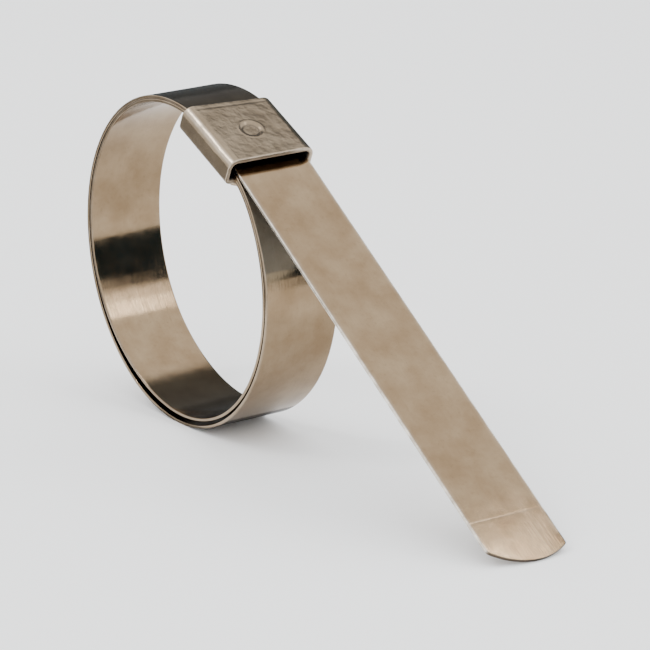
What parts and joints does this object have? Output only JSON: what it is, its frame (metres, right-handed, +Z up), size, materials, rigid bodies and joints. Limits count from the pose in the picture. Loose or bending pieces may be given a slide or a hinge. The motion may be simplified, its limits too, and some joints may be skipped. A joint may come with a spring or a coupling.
{
  "type": "preformed band clamp",
  "caption": "Preformed double-wrap steel band clamp with a punched sleeve buckle and a straight free tail that pulls through to tighten on a hose.",
  "frame": {"origin": "centre of the round space that the hose fills, in the middle of the band's width", "axes": "+Y along the hose, +X towards the free tail, +Z up as the clamp stands on its loop and the tip of its tail"},
  "size_m": [0.1355, 0.0188, 0.0648],
  "materials": {
    "band_steel": "satin",
    "buckle_steel": "satin"
  },
  "bodies": {
    "clamp": {"buckle": "buckle_steel", "band_inner_wrap": "band_steel", "band_outer_wrap": "band_steel"},
    "tail": {"band_tail": "band_steel"}
  },
  "joints": [
    {"name": "tail_pull", "type": "slide", "parent": "clamp", "child": "tail", "axis": [0.8243, 0, -0.5661], "range_m": [0, 0.01], "stiffness_N_per_m": 180}
  ]
}
